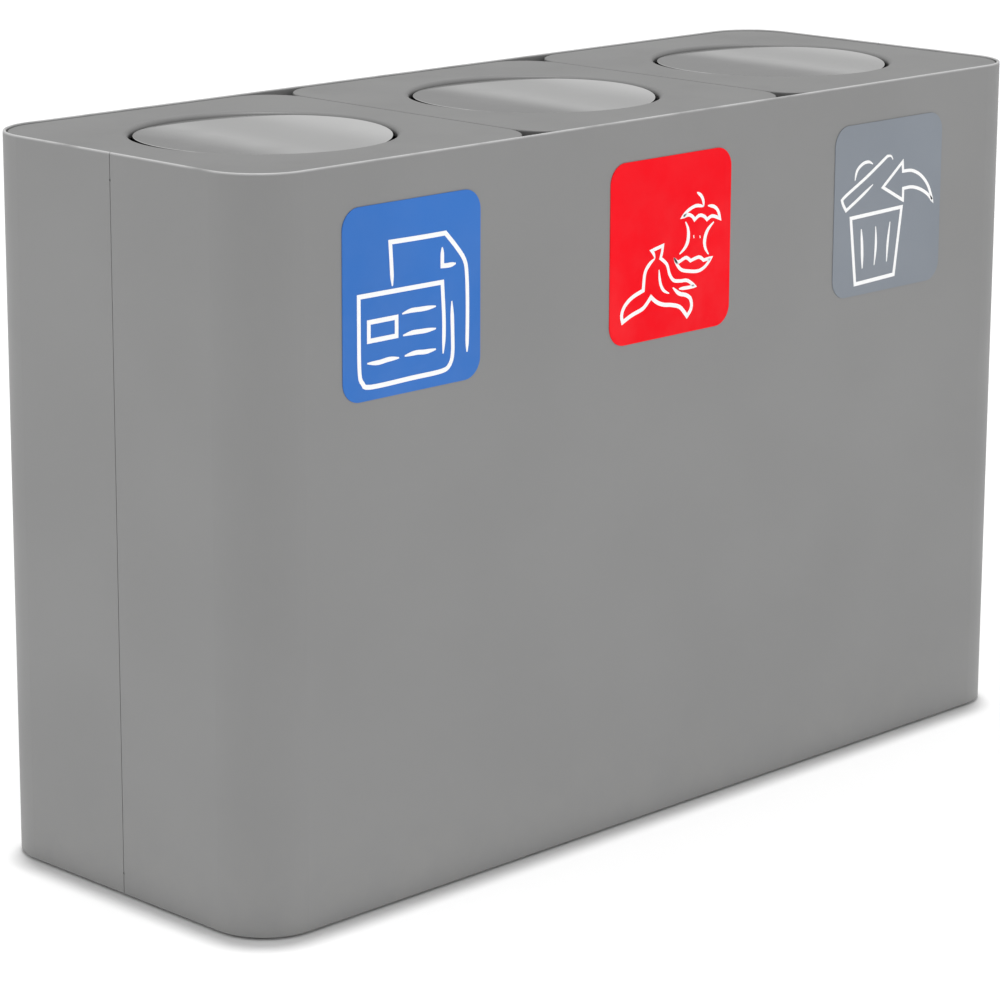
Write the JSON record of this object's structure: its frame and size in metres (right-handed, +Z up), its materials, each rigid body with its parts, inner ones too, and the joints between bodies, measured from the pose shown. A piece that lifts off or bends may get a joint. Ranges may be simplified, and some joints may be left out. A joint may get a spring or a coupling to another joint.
{
  "type": "waste sorting bin",
  "caption": "Sheet-steel waste-sorting bin with lift-out liners, lids that lift off and round swing flaps, and a coloured label plate for each compartment.",
  "frame": {"origin": "on the floor, under the middle of the casing", "axes": "+X along the casing, the labelled front faces -Y, +Z up"},
  "size_m": [1.08, 0.3848, 0.7],
  "materials": {
    "casing_paint": "powder coat, fine orange peel, satin",
    "lid_paint": "powder coat, fine orange peel, satin",
    "galvanised": "galvanised sheet, dull",
    "liner_steel": "galvanised sheet, dull",
    "stainless": "satin stainless steel",
    "zinc": "bright zinc-plated fasteners",
    "black_plastic": "moulded, matt",
    "white_nylon": "moulded nylon",
    "buffer_rubber": "soft, matt",
    "label_blue": "printed plate, satin",
    "label_red": "printed plate, satin",
    "label_grey": "printed plate, satin"
  },
  "bodies": {
    "casing": {"casing_front_shell": "casing_paint", "casing_rear_shell": "casing_paint", "seam_strap_left": "galvanised", "seam_strap_right": "galvanised", "strap_studs": "zinc", "strap_nuts": "zinc", "cross_tie_left": "galvanised", "cross_tie_right": "galvanised", "tie_studs": "zinc", "tie_nuts": "zinc", "base_pan": "galvanised", "base_rivets": "zinc", "floor_glides": "black_plastic", "glide_inserts": "zinc", "liner_runners": "white_nylon", "liner_guides": "galvanised", "label_paper": "label_blue", "label_organic": "label_red", "label_general": "label_grey"},
    "liner_left": {"liner_wrap_left": "liner_steel", "liner_bottom_left": "liner_steel", "liner_grips_left": "black_plastic"},
    "lid_left": {"lid_plate_left": "lid_paint", "axle_brackets_left": "galvanised", "axle_bushes_left": "white_nylon", "lid_buffers_left": "buffer_rubber"},
    "flap_left": {"flap_disc_left": "stainless", "flap_saddles_left": "zinc", "flap_axle_left": "stainless", "flap_counterweight_left": "zinc", "axle_clips_left": "zinc"},
    "liner_middle": {"liner_wrap_middle": "liner_steel", "liner_bottom_middle": "liner_steel", "liner_grips_middle": "black_plastic"},
    "lid_middle": {"lid_plate_middle": "lid_paint", "axle_brackets_middle": "galvanised", "axle_bushes_middle": "white_nylon", "lid_buffers_middle": "buffer_rubber"},
    "flap_middle": {"flap_disc_middle": "stainless", "flap_saddles_middle": "zinc", "flap_axle_middle": "stainless", "flap_counterweight_middle": "zinc", "axle_clips_middle": "zinc"},
    "liner_right": {"liner_wrap_right": "liner_steel", "liner_bottom_right": "liner_steel", "liner_grips_right": "black_plastic"},
    "lid_right": {"lid_plate_right": "lid_paint", "axle_brackets_right": "galvanised", "axle_bushes_right": "white_nylon", "lid_buffers_right": "buffer_rubber"},
    "flap_right": {"flap_disc_right": "stainless", "flap_saddles_right": "zinc", "flap_axle_right": "stainless", "flap_counterweight_right": "zinc", "axle_clips_right": "zinc"}
  },
  "joints": [
    {"name": "liner_lift_left", "type": "slide", "parent": "casing", "child": "liner_left", "axis": [0, 0, 1], "range_m": [0, 0.68]},
    {"name": "lid_lift_left", "type": "slide", "parent": "liner_left", "child": "lid_left", "axis": [0, 0, 1], "range_m": [0, 0.15]},
    {"name": "flap_swing_left", "type": "hinge", "parent": "lid_left", "child": "flap_left", "pos_m": [-0.35783, 0, 0.6845], "axis": [1, 0, 0], "range_deg": [-75, 75]},
    {"name": "liner_lift_middle", "type": "slide", "parent": "casing", "child": "liner_middle", "axis": [0, 0, 1], "range_m": [0, 0.68]},
    {"name": "lid_lift_middle", "type": "slide", "parent": "liner_middle", "child": "lid_middle", "axis": [0, 0, 1], "range_m": [0, 0.15]},
    {"name": "flap_swing_middle", "type": "hinge", "parent": "lid_middle", "child": "flap_middle", "pos_m": [0, 0, 0.6845], "axis": [1, 0, 0], "range_deg": [-75, 75]},
    {"name": "liner_lift_right", "type": "slide", "parent": "casing", "child": "liner_right", "axis": [0, 0, 1], "range_m": [0, 0.68]},
    {"name": "lid_lift_right", "type": "slide", "parent": "liner_right", "child": "lid_right", "axis": [0, 0, 1], "range_m": [0, 0.15]},
    {"name": "flap_swing_right", "type": "hinge", "parent": "lid_right", "child": "flap_right", "pos_m": [0.35783, 0, 0.6845], "axis": [1, 0, 0], "range_deg": [-75, 75]}
  ]
}
